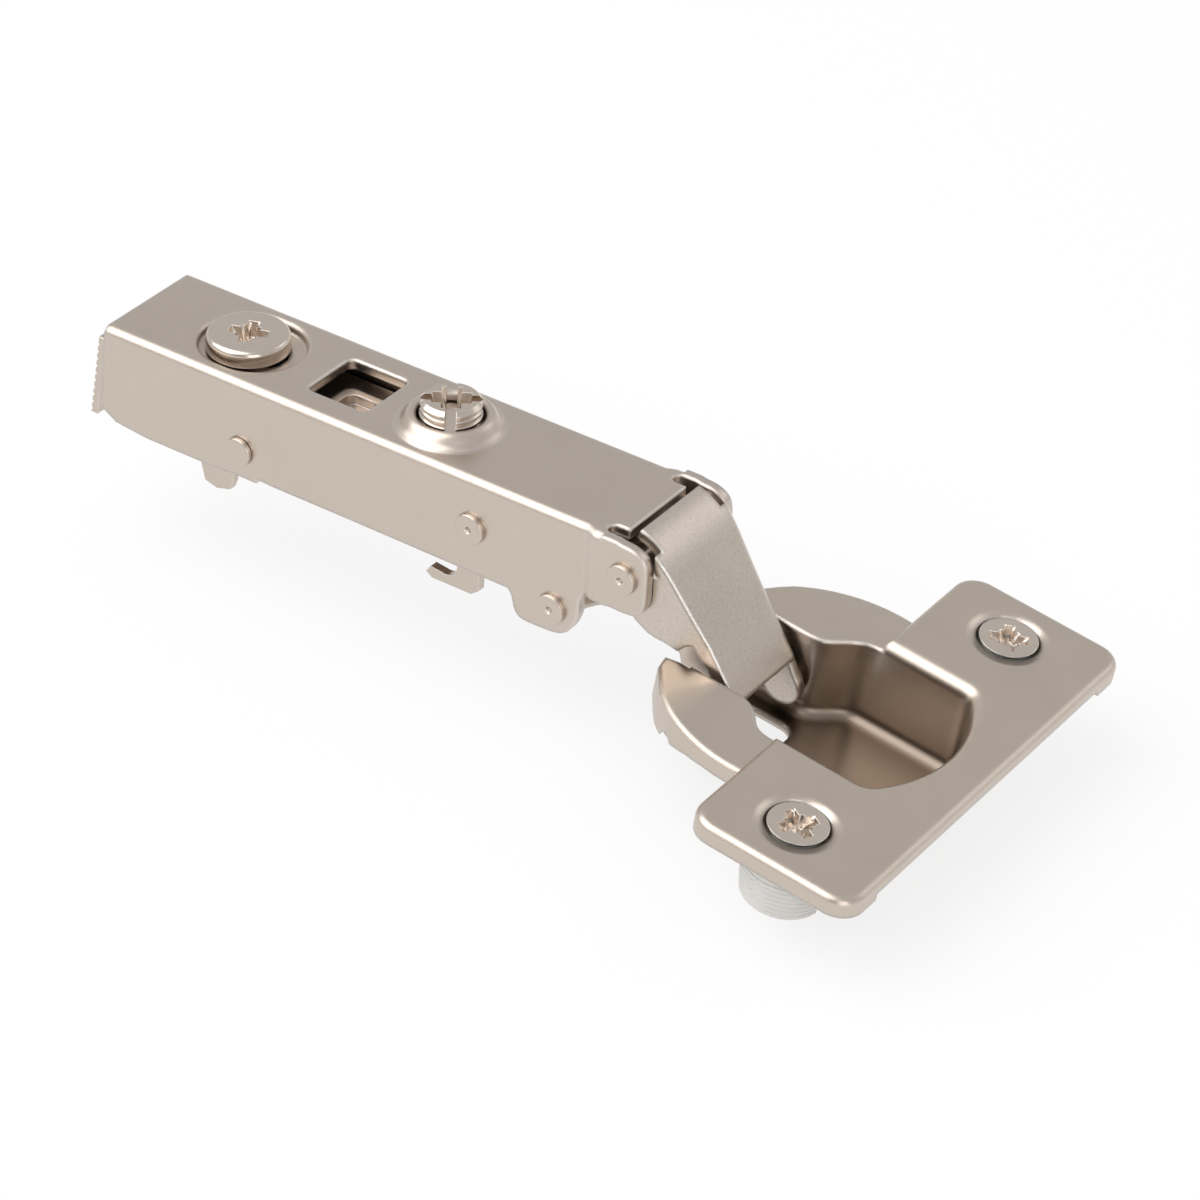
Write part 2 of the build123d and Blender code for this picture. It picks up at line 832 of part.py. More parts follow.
outer_link.part.label = "outer_link"
export_step(outer_link.part, "parts/outer_link.step")

# Inner link with its cam heel

inner_side = [
    (62.9, 2.77),
    (64.6, 3.4),
    (67.0, 4.4),
    (70.0, 4.8),
    (73.0, 4.5),
    (75.8, 3.1),
    (78.0, 0.8),
    (79.9, -1.6),
    (81.6, -3.0),
    (inner_end_x, inner_end_z),
    (78.6, -6.8),
    (77.0, -5.6),
    (76.3, -3.9),
    (75.8, -1.6),
    (74.4, 0.6),
    (72.4, 1.6),
    (69.8, 1.8),
    (67.0, 1.2),
    (65.0, 0.2),
    (63.4, -0.9),
    (inner_pivot_x, -1.0),
    (59.2, -0.6),
    (58.5, 0.9),
    (58.4, 2.2),
    (59.06, 3.19),
    (60.07, 3.38),
    (61.0, 3.34),
    (61.87, 3.25),
]
slot_end_x = inner_end_x - slot_run
slot_end_z = inner_end_z - 0.1

with BuildPart() as inner_link:
    with BuildSketch(side_plane):
        with BuildLine():
            Polyline(*inner_side, close=True)
        make_face()
        with Locations((inner_pivot_x, inner_pivot_z)):
            Circle(2.3)
        with Locations((inner_end_x, inner_end_z), (slot_end_x, slot_end_z)):
            Circle(slot_half + 0.65)
    extrude(amount=inner_link_half, both=True)
    with BuildSketch(side_plane):
        with BuildLine():
            Polyline(
                (59.4, 1.9),
                (61.6, 2.1),
                (64.9, 2.3),
                (67.2, 3.3),
                (70.0, 3.7),
                (72.7, 3.4),
                (75.0, 2.2),
                (77.1, 0.1),
                (78.8, -1.9),
                (85.0, -1.9),
                (85.0, -10.0),
                (57.0, -10.0),
                (57.0, 1.2),
                (58.9, 1.2),
                close=True,
            )
        make_face()
    extrude(amount=inner_link_half - inner_link_sheet, both=True, mode=Mode.SUBTRACT)
    with BuildSketch(side_plane):
        with Locations((inner_pivot_x, inner_pivot_z)):
            Circle(link_pin_r + running_fit)
        with BuildLine():
            middle = Line((inner_end_x, inner_end_z), (slot_end_x, slot_end_z))
        SlotCenterPoint(middle @ 0.5, middle @ 0, 2 * slot_half)
    extrude(amount=20, both=True, mode=Mode.SUBTRACT)

inner_link.part.label = "inner_link"
export_step(inner_link.part, "parts/inner_link.step")

# Pressure lever on the spring pin

lever_side = [
    (50.5, 8.2),
    (54.0, 8.6),
    (59.5, 7.4),
    (62.2, 6.0),
    (62.8, 4.6),
    (62.0, 3.75),
    (60.4, 3.75),
    (59.0, 4.4),
    (56.0, 4.2),
    (50.5, 3.4),
]

with BuildPart() as pressure_lever:
    with BuildSketch(side_plane):
        with BuildLine():
            Polyline(*lever_side, close=True)
        make_face()
        with Locations((spring_pin_x, spring_pin_z)):
            Circle(2.4)
    extrude(amount=3.6, both=True)
    with BuildSketch(level_plane.offset(-5)):
        with Locations((50.0, 0)):
            Rectangle(9.0, 5.2)
    extrude(amount=20, mode=Mode.SUBTRACT)
    with BuildSketch(side_plane):
        with Locations((spring_pin_x, spring_pin_z)):
            Circle(spring_pin_r + running_fit)
    extrude(amount=20, both=True, mode=Mode.SUBTRACT)

pressure_lever.part.label = "pressure_lever"
export_step(pressure_lever.part, "parts/pressure_lever.step")

# Closing spring coiled on the spring pin

spring_wire_r = 0.4
spring_mean_r = 1.85
spring_tail = 2.2

with BuildPart() as closing_spring:
    with BuildLine() as coil:
        Helix(
            pitch=0.9,
            height=4.05,
            radius=spring_mean_r,
            center=(spring_pin_x - hook_x, -2.0, spring_pin_z - hook_z),
            direction=(0, 1, 0),
        )
    with BuildSketch(Plane(origin=coil.line @ 0, z_dir=coil.line % 0)):
        Circle(spring_wire_r)
    sweep(is_frenet=True)
    with BuildSketch(Plane(origin=coil.line @ 1, z_dir=coil.line % 1)):
        Circle(spring_wire_r)
    extrude(amount=4.0)
    with BuildSketch(Plane(origin=coil.line @ 0, z_dir=coil.line % 0)):
        Circle(spring_wire_r)
    extrude(amount=-spring_tail)

closing_spring.part.label = "closing_spring"
export_step(closing_spring.part, "parts/closing_spring.step")

# Hinge cup with flange, pocket and side shelves

pocket_half = 11.35
cavity_turn = degrees(asin((pocket_half - cup_wall) / (cup_r - cup_wall)))

with BuildPart() as cup_cavity:
    with BuildSketch(cup_plane.offset(-cup_depth + cup_wall)) as cavity_plan:
        with BuildLine():
            front = CenterArc((cup_centre, 0), cup_r - cup_wall, -cavity_turn, 2 * cavity_turn)
            Line(front @ 1, (-9.7, pocket_half - cup_wall))
            Spline(
                (-9.7, pocket_half - cup_wall),
                (-12.9, 9.0),
                (-14.6, 7.4),
                (-17.6, neck_half - cup_wall),
                tangents=[(-1, 0), (-1, 0)],
            )
            Line((-17.6, neck_half - cup_wall), (-24.6, neck_half - cup_wall))
            Line((-24.6, neck_half - cup_wall), (-24.6, cup_wall - neck_half))
            Line((-24.6, cup_wall - neck_half), (-17.6, cup_wall - neck_half))
            Spline(
                (-17.6, cup_wall - neck_half),
                (-14.6, -7.4),
                (-12.9, -9.0),
                (-9.7, cup_wall - pocket_half),
                tangents=[(1, 0), (1, 0)],
            )
            Line((-9.7, cup_wall - pocket_half), front @ 0)
        make_face()
        corners = cavity_plan.vertices().filter_by(lambda v: v.X > 0 or v.X < -24)
        fillet(corners, radius=2.2)
    extrude(amount=cup_depth - cup_wall + 0.5)
    floor_edges = cup_cavity.faces().sort_by(cup_axis)[0].edges()
    fillet(floor_edges, radius=1.5)

with BuildPart() as pocket_cavity:
    add(cup_cavity.part)
    with BuildSketch(cup_plane):
        Rectangle(80, 80)
    extrude(amount=1)
    rim_edges = pocket_cavity.edges().filter_by(lambda e: abs(cup_plane.to_local_coords(e.center()).Z) < 0.01)
    fillet(rim_edges.filter_by(lambda e: (e.center() - cup_plane.origin).length < 30), radius=rim_bend)

with BuildPart() as neck_cavity:
    with BuildSketch(cup_plane.offset(ear_top)):
        with Locations((flange_rear - 20, 0)):
            Rectangle(40, 60)
    extrude(amount=3)

with BuildPart() as cup_body:
    with BuildSketch(cup_plane.offset(-cup_depth)) as body_plan:
        with BuildLine():
            front = CenterArc((cup_centre, 0), cup_r, -41, 82)
            Line(front @ 1, (-9.7, pocket_half))
            Spline(
                (-9.7, pocket_half),
                (-13.5, 9.8),
                (-15.2, 8.3),
                (-18.2, neck_half),
                tangents=[(-1, 0), (-1, 0)],
            )
            Line((-18.2, neck_half), (-25.6, neck_half))
            Line((-25.6, neck_half), (-25.6, -neck_half))
            Line((-25.6, -neck_half), (-18.2, -neck_half))
            Spline(
                (-18.2, -neck_half),
                (-15.2, -8.3),
                (-13.5, -9.8),
                (-9.7, -pocket_half),
                tangents=[(1, 0), (1, 0)],
            )
            Line((-9.7, -pocket_half), front @ 0)
        make_face()
        corners = body_plan.vertices().filter_by(lambda v: v.X > 0 or v.X < -25)
        fillet(corners, radius=3.0)
    extrude(amount=cup_depth - 0.5)
    base_edges = cup_body.faces().sort_by(cup_axis)[0].edges()
    fillet(base_edges, radius=2.2)
    # Open rear end of the neck
    with BuildSketch(cup_plane.offset(-8)):
        with Locations((-25.6, 0)):
            Rectangle(6.0, 2 * neck_half + 1)
    extrude(amount=10, mode=Mode.SUBTRACT)

with BuildPart() as cup_shelves:
    with BuildSketch(cup_plane.offset(-5.4)):
        with BuildLine():
            Polyline((-9.0, 9.0), (-9.0, 17.18), (-9.5, 17.23))
            ThreePointArc((-9.5, 17.23), (-16.5, 16.40), (-22.5, 12.92))
            Polyline((-22.5, 12.92), (-23.6, 11.6), (-25.3, 9.2), (-25.7, 7.3), (-24.0, 6.9), (-16.0, 7.2), (-9.0, 9.0))
        make_face()
        mirror(about=Plane.XZ)
    extrude(amount=5.4 + ear_top)
    top_edges = cup_shelves.faces().sort_by(cup_axis)[-2:].edges()
    fillet(top_edges.filter_by(lambda e: e.center().X < 500), radius=0.5)

with BuildPart() as hinge_cup:
    add(cup_shelves.part)
    with BuildSketch(cup_plane.offset(-10)):
        with BuildLine():
            Polyline((-9.0, 8.0), (-9.0, 16.1), (-9.5, 16.2))
            ThreePointArc((-9.5, 16.2), (-16.2, 15.4), (-21.8, 12.2))
            Polyline((-21.8, 12.2), (-22.8, 11.0), (-24.3, 8.7), (-24.6, 6.9), (-16.0, 7.2), (-9.0, 8.0))
        make_face()
        mirror(about=Plane.XZ)
    extrude(amount=10 + ear_top - flange_sheet, mode=Mode.SUBTRACT)
    # The rims under the shelves grow deeper towards the rear
    with BuildSketch(cup_side_plane):
        with BuildLine():
            Polyline(
                (-8.0, -3.5),
                (-14.0, -3.5),
                (-16.4, -3.8),
                (-18.8, -4.6),
                (-20.7, -5.3),
                (-30.0, -5.3),
                (-30.0, -9.0),
                (-8.0, -9.0),
                close=True,
            )
        make_face()
    extrude(amount=30, both=True, mode=Mode.SUBTRACT)
    # Flange with its turned-down edge
    with BuildSketch(cup_plane):
        with Locations(((flange_front + flange_rear) / 2, 0)):
            RectangleRounded(flange_front - flange_rear, 2 * flange_half, 3.0)
    extrude(amount=-flange_drop)
    crown = hinge_cup.faces().sort_by(cup_axis)[-1].edges()
    fillet(crown, radius=0.8)
    with BuildSketch(cup_plane.offset(-flange_sheet)):
        with Locations(((flange_front + flange_rear) / 2, 0)):
            RectangleRounded(flange_front - flange_rear - 2 * flange_sheet, 2 * (flange_half - flange_sheet), 2.0)
    extrude(amount=flange_sheet - flange_drop, mode=Mode.SUBTRACT)
    # The front skirt is lower between the wing tips
    with BuildSketch(cup_plane.offset(-skirt_drop)):
        with Locations((flange_front, 0)):
            Rectangle(4, 2 * (flange_half - 5.5))
    extrude(amount=-4, mode=Mode.SUBTRACT)
    add(cup_body.part)
    add(pocket_cavity.part, mode=Mode.SUBTRACT)
    add(neck_cavity.part, mode=Mode.SUBTRACT)
    # Window in the floor
    with BuildSketch(cup_plane.offset(-cup_depth - 1)):
        with Locations((-19.5, 0)):
            RectangleRounded(11.0, 7.6, 1.8)
    extrude(amount=4, mode=Mode.SUBTRACT)
    # Screw holes with countersinks
    for side in (-1, 1):
        with BuildSketch(cup_plane.offset(0.01)):
            with Locations((0, side * screw_spacing / 2)):
                Circle(countersink_r)
        extrude(amount=-0.9, taper=45, mode=Mode.SUBTRACT)
        with BuildSketch(cup_plane.offset(1)):
            with Locations((0, side * screw_spacing / 2)):
                Circle(countersink_r - 0.9)
        extrude(amount=-4, mode=Mode.SUBTRACT)
    # Holes for the cup pins
    with BuildSketch(side_plane):
        with Locations((outer_end_x, outer_end_z)):
            Circle(link_pin_r + pin_fit)
        with Locations((inner_end_x, inner_end_z)):
            Circle(cup_pin_r + pin_fit)
    extrude(amount=20, both=True, mode=Mode.SUBTRACT)

hinge_cup.part.label = "hinge_cup"
export_step(hinge_cup.part, "parts/hinge_cup.step")

# Pins across the neck of the cup

with BuildPart() as cup_pin_outer:
    for side in (-1, 1):
        with BuildSketch(side_plane.offset(side * stub_inner)):
            with Locations((outer_end_x, outer_end_z)):
                Circle(link_pin_r)
        extrude(amount=side * (wall_outer - stub_inner))

cup_pin_outer.part.label = "cup_pin_outer"
export_step(cup_pin_outer.part, "parts/cup_pin_outer.step")

with BuildPart() as cup_pin_inner:
    with BuildSketch(side_plane):
        with Locations((inner_end_x, inner_end_z)):
            Circle(cup_pin_r)
    extrude(amount=wall_outer, both=True)

cup_pin_inner.part.label = "cup_pin_inner"
export_step(cup_pin_inner.part, "parts/cup_pin_inner.step")

# Expanding dowels pressed into the door

with BuildPart() as dowel_left:
    with BuildSketch(cup_plane.offset(-flange_sheet - face_gap / 2)):
        with Locations((0, screw_spacing / 2)):
            Circle(dowel_r)
            Circle(cup_screw_r + running_fit, mode=Mode.SUBTRACT)
    extrude(amount=dowel_bottom + flange_sheet + face_gap / 2)
    tip_edges = dowel_left.edges().sort_by(cup_axis)[0:1]
    chamfer(tip_edges, length=0.6)
    with BuildSketch(cup_plane.offset(dowel_bottom - 1)):
        with Locations((0, screw_spacing / 2)):
            Rectangle(0.9, 12.0)
    extrude(amount=5.5, mode=Mode.SUBTRACT)

dowel_left.part.label = "dowel_left"
export_step(dowel_left.part, "parts/dowel_left.step")

with BuildPart() as dowel_right:
    mirror(dowel_left.part, about=Plane.XZ)

dowel_right.part.label = "dowel_right"
export_step(dowel_right.part, "parts/dowel_right.step")

with BuildPart() as cup_screw_left:
    with BuildSketch(cup_plane.offset(0.1)):
        with Locations((0, screw_spacing / 2)):
            Circle(cup_screw_head_r)
    extrude(amount=-1.1, taper=45)
    with BuildSketch(cup_plane.offset(-8.4)):
        with Locations((0, screw_spacing / 2)):
            Circle(cup_screw_r)
    extrude(amount=8.0)
    with BuildSketch(cup_plane.offset(0.1)):
        with Locations((0, screw_spacing / 2)):
            Rectangle(4.4, 1.35, rotation=30)
            Rectangle(4.4, 1.35, rotation=120)
            Rectangle(3.1, 0.5, rotation=75)
            Rectangle(3.1, 0.5, rotation=165)
            Circle(1.25)
    extrude(amount=-1.3, taper=18, mode=Mode.SUBTRACT)

cup_screw_left.part.label = "cup_screw_left"
export_step(cup_screw_left.part, "parts/cup_screw_left.step")

with BuildPart() as cup_screw_right:
    mirror(cup_screw_left.part, about=Plane.XZ)

cup_screw_right.part.label = "cup_screw_right"
export_step(cup_screw_right.part, "parts/cup_screw_right.step")
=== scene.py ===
"""Concealed cup hinge: finishes, fine details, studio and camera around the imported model."""

import logging
import math
from collections.abc import Sequence
from dataclasses import dataclass, field, replace
from enum import Enum
from typing import ClassVar

import bmesh
import bpy
from mathutils import Matrix, Vector

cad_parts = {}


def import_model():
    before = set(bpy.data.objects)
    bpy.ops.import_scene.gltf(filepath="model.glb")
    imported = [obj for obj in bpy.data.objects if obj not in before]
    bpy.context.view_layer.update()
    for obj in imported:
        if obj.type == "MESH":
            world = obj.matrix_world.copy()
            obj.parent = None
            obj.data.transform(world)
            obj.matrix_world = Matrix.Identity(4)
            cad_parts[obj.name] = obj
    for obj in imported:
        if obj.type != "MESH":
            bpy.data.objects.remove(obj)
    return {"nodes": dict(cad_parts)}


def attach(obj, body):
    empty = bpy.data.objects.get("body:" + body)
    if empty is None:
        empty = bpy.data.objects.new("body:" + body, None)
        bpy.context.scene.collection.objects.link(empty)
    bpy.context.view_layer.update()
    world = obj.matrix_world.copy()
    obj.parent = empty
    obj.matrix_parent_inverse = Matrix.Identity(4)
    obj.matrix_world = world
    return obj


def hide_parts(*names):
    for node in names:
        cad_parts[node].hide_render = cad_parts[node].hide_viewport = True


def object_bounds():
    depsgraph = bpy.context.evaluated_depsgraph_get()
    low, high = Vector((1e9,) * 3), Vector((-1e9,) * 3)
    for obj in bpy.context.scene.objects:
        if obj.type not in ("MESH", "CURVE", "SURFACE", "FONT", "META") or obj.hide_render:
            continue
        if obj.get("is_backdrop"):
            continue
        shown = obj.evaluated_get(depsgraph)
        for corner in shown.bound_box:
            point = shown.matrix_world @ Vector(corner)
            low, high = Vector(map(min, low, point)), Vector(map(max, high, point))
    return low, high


LOG = logging.getLogger("cup_hinge")
MM = 0.001

Triple = tuple[float, float, float]
Socket = bpy.types.NodeSocket
Filling = Socket | float | Triple | Vector


class Finish(Enum):
    """The named surfaces of the hinge."""

    SATIN_NICKEL = "satin_nickel"
    FINE_NICKEL = "fine_nickel"
    GRAINED_NICKEL = "grained_nickel"
    CUP_NICKEL = "cup_nickel"
    BRIGHT_NICKEL = "bright_nickel"
    SPRING_STEEL = "spring_steel"
    SLATE_PLASTIC = "slate_plastic"
    WHITE_PLASTIC = "white_plastic"


class CupFrame:
    """The flange's own frame: x along the hinge, y across it, z out of the flange's top.

    The places of the screws and of the cup's centre are in millimetres.
    """

    tilt = math.radians(8.2)
    origin = Vector((56.05, 0.0, -0.46)) * MM
    screw_side = 21.0
    cup_centre = -11.0

    @classmethod
    def matrix(cls) -> Matrix:
        """Gives the turn and the shift from the flange's frame to the row frame."""
        return Matrix.Translation(cls.origin) @ Matrix.Rotation(cls.tilt, 4, "Y")

    @classmethod
    def forward(cls) -> Vector:
        """Gives the flange's x direction."""
        return Vector((math.cos(cls.tilt), 0.0, -math.sin(cls.tilt)))

    @classmethod
    def across(cls) -> Vector:
        """Gives the flange's y direction."""
        return Vector((0.0, 1.0, 0.0))

    @classmethod
    def normal(cls) -> Vector:
        """Gives the flange's outward direction."""
        return Vector((math.sin(cls.tilt), 0.0, math.cos(cls.tilt)))

    @classmethod
    def point(cls, x: float, y: float, z: float) -> Vector:
        """Gives a flange point in the row frame.

        Args:
            x: Along the hinge, in millimetres.
            y: Across the hinge, in millimetres.
            z: Out of the flange, in millimetres.

        Returns:
            The point in metres.
        """
        return cls.matrix() @ (Vector((x, y, z)) * MM)


class Graph:
    """A shader node tree, with short ways to add nodes and to join them."""

    def __init__(self, tree: bpy.types.NodeTree) -> None:
        """Takes the tree that gets the nodes."""
        self.tree = tree

    def fill(self, node: bpy.types.Node, inputs: dict[str | int, Filling]) -> None:
        """Gives the inputs of a node their links and values.

        Args:
            node: The node whose inputs are filled.
            inputs: What each input gets, by its name or number.
        """
        for key, value in inputs.items():
            socket = node.inputs[key]
            if isinstance(value, Socket):
                self.tree.links.new(value, socket)
            elif socket.type == "RGBA":
                socket.default_value = (*value, 1.0)
            else:
                socket.default_value = value

    def add(self, kind: str, inputs: dict[str | int, Filling] | None = None) -> bpy.types.Node:
        """Adds a node.

        Args:
            kind: The node's type without its prefix, such as Bump.
            inputs: What its inputs get, by name or number.

        Returns:
            The new node.
        """
        node = self.tree.nodes.new(f"ShaderNode{kind}")
        self.fill(node, inputs or {})
        return node

    def number(self, operation: str, *values: Filling) -> Socket:
        """Adds a calculation with numbers.

        Args:
            operation: What is calculated, such as MULTIPLY.
            values: The inputs in order.

        Returns:
            The result.
        """
        node = self.add("Math")
        node.operation = operation
        self.fill(node, dict(enumerate(values)))
        return node.outputs["Value"]

    def vector(self, operation: str, *values: Filling) -> Socket:
        """Adds a calculation with vectors.

        Args:
            operation: What is calculated, such as DOT_PRODUCT.
            values: The inputs in order.

        Returns:
            The result, which is a number for a dot product or a length.
        """
        node = self.add("VectorMath")
        node.operation = operation
        self.fill(node, dict(enumerate(values)))
        return node.outputs["Value" if operation in ("DOT_PRODUCT", "LENGTH") else "Vector"]

    def spread(
        self,
        value: Socket,
        start: Filling,
        end: Filling,
        low: Filling = 0.0,
        high: Filling = 1.0,
        smooth: bool = False,
    ) -> Socket:
        """Spreads a range of values over another one, and holds it there.

        Args:
            value: The value before.
            start: The value that becomes low.
            end: The value that becomes high.
            low: The result at the start.
            high: The result at the end.
            smooth: Whether the change eases in and out.

        Returns:
            The value after.
        """
        node = self.add("MapRange")
        node.interpolation_type = "SMOOTHSTEP" if smooth else "LINEAR"
        span = {"From Min": start, "From Max": end, "To Min": low, "To Max": high}
        self.fill(node, {"Value": value, **span})
        return node.outputs["Result"]

    def mix(self, share: Filling, first: Filling, second: Filling, kind: str = "RGBA") -> Socket:
        """Mixes two colours or two numbers.

        Args:
            share: The second one's share.
            first: The one that shows at 0.
            second: The one that shows at 1.
            kind: RGBA for colours, FLOAT for numbers.

        Returns:
            The mixture.
        """
        node = self.add("Mix")
        node.data_type = kind
        self.fill(node, {"Factor": share, "A": first, "B": second})
        return node.outputs["Result"]

    def noise(
        self, place: Socket, scale: Filling, detail: float = 2.0, roughness: float = 0.5
    ) -> Socket:
        """Adds a cloudy noise.

        Args:
            place: The object coordinates.
            scale: How many clouds fit into a metre.
            detail: How many finer layers it has.
            roughness: How strong those layers are.

        Returns:
            A value around one half.
        """
        texture = {"Vector": place, "Scale": scale, "Detail": detail, "Roughness": roughness}
        return self.add("TexNoise", texture).outputs["Fac"]

    def folded(self, vector: Socket) -> Socket:
        """Folds a vector's two sides onto each other, so that left and right get the same.

        Args:
            vector: A place or a direction.

        Returns:
            The vector with a Y that isn't negative.
        """
        parts = self.add("SeparateXYZ", {0: vector}).outputs
        beside = self.number("ABSOLUTE", parts["Y"])
        return self.add("CombineXYZ", {0: parts["X"], 1: beside, 2: parts["Z"]}).outputs[0]


def blank_material(name: str) -> tuple[bpy.types.Material, Graph, bpy.types.Node]:
    """Starts a material.

    Args:
        name: The material's name.

    Returns:
        The material, its graph and its main shader.
    """
    material = bpy.data.materials.new(name)
    material.use_nodes = True
    tree = material.node_tree
    return material, Graph(tree), tree.nodes["Principled BSDF"]


class EffectGroups:
    """Shader node groups that several finishes share.

    Scales are counts per metre, and a range is the part of a noise that is spread out.
    """

    grain_detail = 3.0
    grain_roughness = 0.6
    cloud_scale = 160.0
    cloud_detail = 4.0
    pit_scale = 2600.0
    pit_share = 0.15
    rough_range = (0.15, 0.85)
    shade_range = (0.25, 0.75)
    skin_scale = 4000.0
    tone_scale = 220.0

    @staticmethod
    def begin(
        name: str, values: Sequence[str], results: Sequence[str]
    ) -> tuple[Graph, bpy.types.Node, bpy.types.Node]:
        """Starts a group that gets a place and some numbers, and gives numbers.

        Args:
            name: The group's name.
            values: The names of the numbers that go in.
            results: The names of the numbers that come out.

        Returns:
            The group's graph, the node where it begins and the node where it ends.
        """
        group = bpy.data.node_groups.new(name, "ShaderNodeTree")
        socket = group.interface.new_socket
        socket(name="Vector", in_out="INPUT", socket_type="NodeSocketVector")
        for value in values:
            socket(name=value, in_out="INPUT", socket_type="NodeSocketFloat")
        for result in results:
            socket(name=result, in_out="OUTPUT", socket_type="NodeSocketFloat")
        entry = group.nodes.new("NodeGroupInput")
        leave = group.nodes.new("NodeGroupOutput")
        return Graph(group), entry, leave

    @classmethod
    def plated_grain(cls) -> bpy.types.NodeTree:
        """Builds the grain of a rolled and plated sheet.

        Returns:
            A group that puts out a height, a roughness and a colour shift.
        """
        graph, entry, leave = cls.begin(
            "plated_grain",
            ("Grain Scale", "Roughness Low", "Roughness High", "Fleck"),
            ("Height", "Roughness", "Shade"),
        )
        given = entry.outputs
        place = given["Vector"]
        grain = graph.noise(place, given["Grain Scale"], cls.grain_detail, cls.grain_roughness)
        cloud = graph.noise(place, cls.cloud_scale, cls.cloud_detail)
        pits = graph.add("TexVoronoi", {"Vector": place, "Scale": cls.pit_scale})
        height = graph.number("MULTIPLY_ADD", pits.outputs["Distance"], cls.pit_share, grain)
        limits = given["Roughness Low"], given["Roughness High"]
        roughness = graph.spread(cloud, *cls.rough_range, *limits)
        flecks = graph.mix(given["Fleck"], cloud, grain, kind="FLOAT")
        shade = graph.spread(flecks, *cls.shade_range)
        graph.fill(leave, {"Height": height, "Roughness": roughness, "Shade": shade})
        return graph.tree

    @classmethod
    def moulded_skin(cls) -> bpy.types.NodeTree:
        """Builds the faint texture of a moulded plastic.

        Returns:
            A group that puts out a height and a shade.
        """
        graph, entry, leave = cls.begin("moulded_skin", (), ("Height", "Shade"))
        place = entry.outputs["Vector"]
        height = graph.noise(place, cls.skin_scale)
        shade = graph.noise(place, cls.tone_scale)
        graph.fill(leave, {"Height": height, "Shade": shade})
        return graph.tree


@dataclass(frozen=True)
class PaintedBendReflection:
    """A painted highlight or painted dark reflection along a fold, drawn where the rounded
    normal points nearly one way.
    """

    direction: Triple
    start: float
    full: float
    colour: Triple


